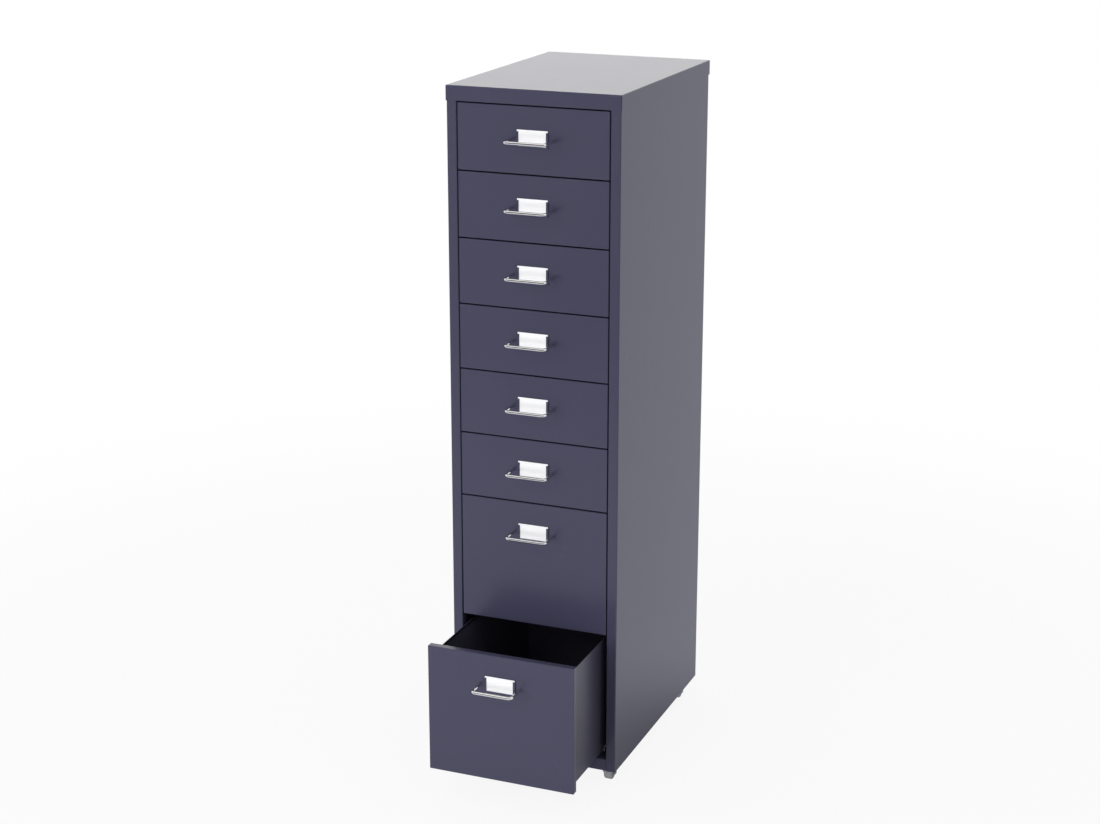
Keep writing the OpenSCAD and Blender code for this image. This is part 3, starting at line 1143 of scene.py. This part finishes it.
@dataclass
class Studio:
    """The pale floor, the white surroundings, the lamps and the camera.

    Attributes:
        floor_size: width of the floor.
        floor_drop: how far it lies below the wheels.
        floor_colour: its colour where light falls on it.
        fade: the distances over which the floor's shading fades to plain white.
        shading: share of the floor's look that comes from the light on it.
        mirrored_fade: the same distances where glossy surfaces mirror the floor.
        mirrored_colour: the floor's colour in glossy surfaces.
        mirrored_dim: how far the floor dims in glossy surfaces: behind the cabinet, more in front of it,
            and more again further out in front.
        mirrored_near: the distances ahead over which the second of these comes in.
        mirrored_far: the distances over which the third comes in.
        fill: strength of the surroundings' light on matt surfaces.
        band_back: how far a direction leans back where the dim band starts and where it is whole.
        band_low: how far it leans up across the band's lower edge.
        band_high: the same across its upper edge.
        band_dim: how dark the band is.
        azimuth: the camera's turn to the right of straight ahead, in degrees.
        elevation: its height above the horizon, in degrees.
        distance: its distance from the target.
        target: the point that it looks at.
        lens: its focal length on a 36 mm sensor.
    """

    floor_size: float = 60.0
    floor_drop: float = 0.0003
    floor_colour: Colour = (0.85, 0.85, 0.85)
    fade: Flat = (0.9, 2.2)
    shading: float = 0.10
    mirrored_fade: Flat = (0.07, 0.52)
    mirrored_colour: Colour = (0.96, 0.96, 1.06)
    mirrored_dim: tuple[float, float, float] = (0.2, 0.04, 0.7)
    mirrored_near: Flat = (0.0, 0.4)
    mirrored_far: Flat = (1.6, 2.5)
    fill: float = 0.58
    band_back: Flat = (0.3, 0.55)
    band_low: Flat = (-0.04, 0.02)
    band_high: Flat = (0.5, 0.62)
    band_dim: float = 0.96
    azimuth: float = 22.098
    elevation: float = 17.072
    distance: float = 3.4551
    target: Point = (-0.05504, 0.08515, 0.54438)
    lens: float = 69.126

    def seen(self, shader: Shader) -> Num:
        """Returns 1 for the rays that show the surroundings themselves, and 0 for those that light."""
        rays = self.rays(shader)
        return rays["Is Camera Ray"].most(rays["Is Glossy Ray"]).most(rays["Is Transmission Ray"])

    @staticmethod
    def rays(shader: Shader) -> dict[str, Num]:
        """Returns the kinds of ray as numbers."""
        path = shader.node("ShaderNodeLightPath")
        return {output.name: Num(shader, output) for output in path.outputs}

    def floor_finish(self) -> bpy.types.Material:
        """Returns the floor's material: shaded near the cabinet, plain white further out."""
        material = bpy.data.materials.new("pale_floor")
        shader = Shader(material)
        flat = shader.place((1.0, 1.0, 0.0))
        spread = shader.node("ShaderNodeVectorMath", {"operation": "LENGTH"}, {0: flat})
        spread = Num(shader, spread.outputs["Value"])
        matt = shader.node("ShaderNodeBsdfDiffuse", inputs={"Color": (*self.floor_colour, 1.0)}).outputs[0]
        glossy = self.rays(shader)["Is Glossy Ray"]
        colour = shader.mix((1.0, 1.0, 1.0), self.mirrored_colour, glossy)
        glow = shader.node("ShaderNodeEmission", inputs={"Color": colour, "Strength": 1.0}).outputs[0]
        plain = 1 - self.shading * (1 - spread.between(*self.fade))
        share = plain + glossy * (spread.between(*self.mirrored_fade) - plain)
        shown = shader.layers(matt, shader.layers(matt, glow, share), self.seen(shader))
        ahead = 0 - shader.along(shader.place(), Axis.DEEP)
        behind, near, far = self.mirrored_dim
        dim = behind + ahead.between(*self.mirrored_near) * near + ahead.between(*self.mirrored_far) * far
        dark = shader.node("ShaderNodeEmission", inputs={"Strength": 0.0}).outputs[0]
        final = shader.layers(shown, dark, glossy * dim)
        shader.node("ShaderNodeOutputMaterial", inputs={"Surface": final})
        return material

    def floor(self) -> None:
        """Lays the floor, which keeps the cabinet's shadow and fades to white."""
        form = bmesh.new()
        bmesh.ops.create_grid(form, x_segments=1, y_segments=1, size=self.floor_size / 2)
        bmesh.ops.translate(form, verts=form.verts[:], vec=(0.0, 0.0, -self.floor_drop))
        data = bpy.data.meshes.new("studio_floor")
        form.to_mesh(data)
        form.free()
        data.materials.append(self.floor_finish())
        in_scene("studio_floor", data)

    def surroundings(self) -> None:
        """Makes the surroundings: white to the eye and in metal, but for a dim band behind the camera."""
        world = bpy.data.worlds.new("studio")
        bpy.context.scene.world = world
        shader = Shader(world)
        rays = self.rays(shader)
        direction = shader.node("ShaderNodeTexCoord").outputs["Generated"]
        back, up = 0 - shader.along(direction, Axis.DEEP), shader.along(direction, Axis.UP)
        band = back.between(*self.band_back) * up.between(*self.band_low) * (1 - up.between(*self.band_high))
        mirrored = 1 - band * self.band_dim
        show = rays["Is Camera Ray"] + rays["Is Transmission Ray"] + rays["Is Glossy Ray"] * mirrored
        light = show.most(self.fill * (1 - self.seen(shader)))
        glow = shader.node("ShaderNodeBackground", inputs={"Color": (1.0, 1.0, 1.0, 1.0), "Strength": light})
        shader.node("ShaderNodeOutputWorld", inputs={"Surface": glow.outputs[0]})

    def camera(self) -> None:
        """Sets up the camera."""
        data = bpy.data.cameras.new("camera")
        data.lens = self.lens
        turn, rise = math.radians(self.azimuth), math.radians(self.elevation)
        back = Vector((math.sin(turn) * math.cos(rise), -math.cos(turn) * math.cos(rise), math.sin(rise)))
        camera = in_scene("camera", data)
        camera.location = Vector(self.target) + back * self.distance
        camera.rotation_euler = (-back).to_track_quat("-Z", "Y").to_euler()
        bpy.context.scene.camera = camera

    def build(self) -> None:
        """Builds the whole studio."""
        self.floor()
        self.surroundings()
        middle, top, low, foot = ((0.0, 0.0, height) for height in (0.6, 1.1, 0.4, 0.1))
        for lamp in (
            SoftBox("key_lamp", (-0.9, -3.35, 2.6), middle, width=1.6, height=1.4, radiance=3.0),
            SoftBox("left_lamp", (-1.5, -2.6, 0.85), low, width=0.9, height=0.7, radiance=6.0),
            SoftBox("low_lamp", (-1.2, -3.4, 0.3), foot, width=1.4, height=0.6, radiance=10.0),
            SoftBox("near_lamp", (1.0, -3.75, 1.57), middle, width=1.6, height=1.0, radiance=1.5),
            SoftBox("back_lamp", (-1.6, 4.2, 2.2), top, width=5.0, height=2.6, radiance=0.56, mirrored=True),
        ):
            lamp.build()
        self.camera()


def main() -> None:
    """Builds the cabinet piece by piece, then the studio."""
    logging.basicConfig(level=logging.INFO, format="%(name)s %(message)s")
    bpy.context.scene.view_settings.view_transform = "Standard"
    finish = finishes()
    sheet = Sheet()
    Carcass(finish, sheet).build()
    for number in range(1, DRAWERS + 1):
        Drawer(number, finish, sheet).build()
    Hardware(finish).build()
    Studio().build()


if __name__ == "__main__":
    main()
